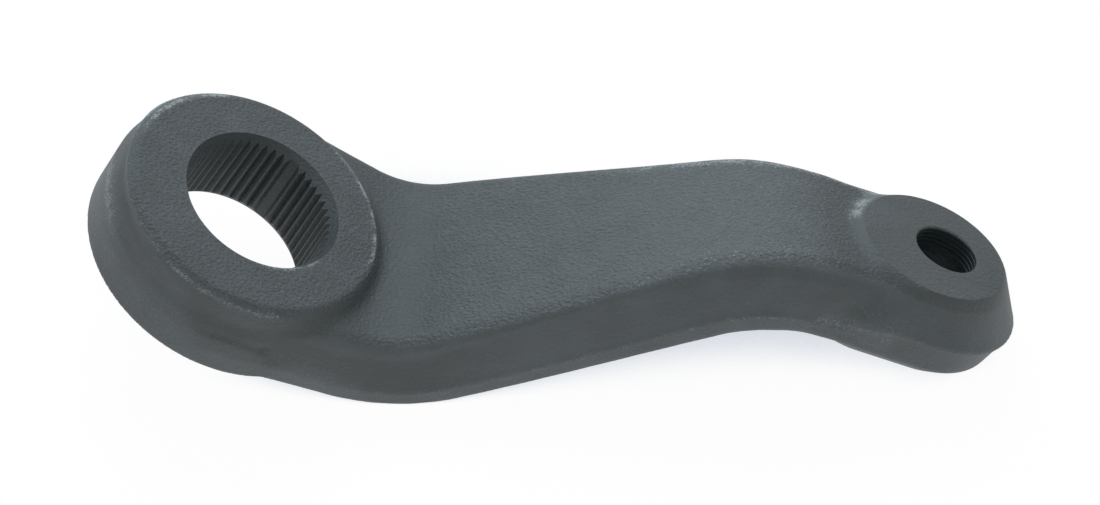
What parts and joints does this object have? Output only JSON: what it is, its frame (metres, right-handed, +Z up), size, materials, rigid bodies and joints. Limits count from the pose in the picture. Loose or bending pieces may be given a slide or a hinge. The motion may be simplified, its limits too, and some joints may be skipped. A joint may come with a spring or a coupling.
{
  "type": "pitman arm",
  "caption": "Forged steering pitman arm with a tapered serrated bore in a collared boss, a stepped tapering beam and an oblong eye with a tapered stud hole.",
  "frame": {"origin": "on the axis of the serrated bore, in the plane of the boss's collar face", "axes": "+Z up as the arm lies at rest, +X along the arm from the boss to the eye; the bore leans towards the eye in the XZ plane"},
  "size_m": [0.201, 0.0646, 0.0494],
  "materials": {
    "forged_steel": "dark phosphated forging, fine pebbled grain, lighter scuffs on edges"
  },
  "bodies": {
    "root": {"pitman_arm": "forged_steel"}
  },
  "joints": []
}
